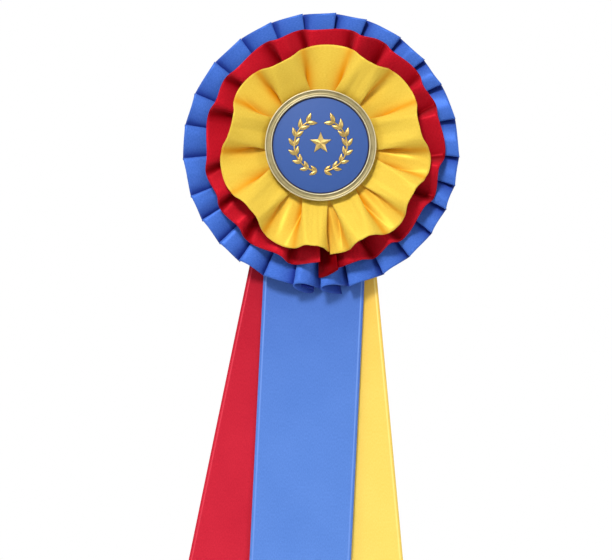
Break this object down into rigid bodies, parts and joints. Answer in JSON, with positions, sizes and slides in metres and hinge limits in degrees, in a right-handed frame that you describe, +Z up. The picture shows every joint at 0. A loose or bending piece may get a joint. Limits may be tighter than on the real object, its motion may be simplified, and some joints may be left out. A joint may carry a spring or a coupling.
{
  "type": "award rosette",
  "caption": "Pleated satin award rosette with stacked frills, a gilt-rimmed centre with a raised emblem, hanging ribbon tails and a brooch pin.",
  "frame": {"origin": "middle of the brooch pin, in the plane of the back card's rear face, 16 mm above the rosette's centre", "axes": "+Z up, the rosette's face looks along -Y and the brooch pin is on the +Y side"},
  "size_m": [0.1473, 0.0392, 0.3774],
  "materials": {
    "blue_satin": "satin",
    "red_satin": "satin",
    "yellow_satin": "satin",
    "thread": "matte",
    "white_card": "matte",
    "blue_enamel": "satin",
    "gilt": "satin",
    "steel": "satin",
    "foam": "matte"
  },
  "bodies": {
    "rosette": {"back_card": "white_card", "base_card": "white_card", "red_card": "white_card", "yellow_card": "white_card", "blue_frill": "blue_satin", "red_frill": "red_satin", "yellow_frill": "yellow_satin", "blue_frill_stitching": "thread", "red_frill_stitching": "thread", "yellow_frill_stitching": "thread", "blue_tail_top": "blue_satin", "red_tail_top": "red_satin", "yellow_tail_top": "yellow_satin", "tier_staple_left": "steel", "tier_staple_right": "steel", "tail_staple_left": "steel", "tail_staple_right": "steel", "centre_rim": "gilt", "centre_disc": "blue_enamel", "emblem_star": "gilt", "emblem_wreath_left": "gilt", "emblem_wreath_right": "gilt", "pin_adhesive_pad": "foam", "pin_bar": "steel", "pin_rivet": "steel"},
    "blue_tail": {"blue_tail": "blue_satin"},
    "red_tail": {"red_tail": "red_satin"},
    "yellow_tail": {"yellow_tail": "yellow_satin"},
    "needle": {"pin_needle": "steel"},
    "catch": {"pin_catch": "steel"}
  },
  "joints": [
    {"name": "blue_tail_swing", "type": "hinge", "parent": "rosette", "child": "blue_tail", "pos_m": [0, -0.0042, -0.092], "axis": [1, 0, 0], "range_deg": [-35, 50]},
    {"name": "red_tail_swing", "type": "hinge", "parent": "rosette", "child": "red_tail", "pos_m": [0, -0.0032, -0.092], "axis": [1, 0, 0], "range_deg": [-35, 50]},
    {"name": "yellow_tail_swing", "type": "hinge", "parent": "rosette", "child": "yellow_tail", "pos_m": [0, -0.0022, -0.092], "axis": [1, 0, 0], "range_deg": [-35, 50]},
    {"name": "needle_hinge", "type": "hinge", "parent": "rosette", "child": "needle", "pos_m": [-0.0145, 0.0074, 0], "axis": [0, 0, 1], "range_deg": [0, 75]},
    {"name": "catch_turn", "type": "hinge", "parent": "rosette", "child": "catch", "pos_m": [0.0135, 0.0074, 0], "axis": [1, 0, 0], "range_deg": [0, 95]}
  ],
  "couplings": [
    {"joint": "red_tail_swing", "follows": "blue_tail_swing", "ratio": 1},
    {"joint": "yellow_tail_swing", "follows": "blue_tail_swing", "ratio": 1}
  ]
}
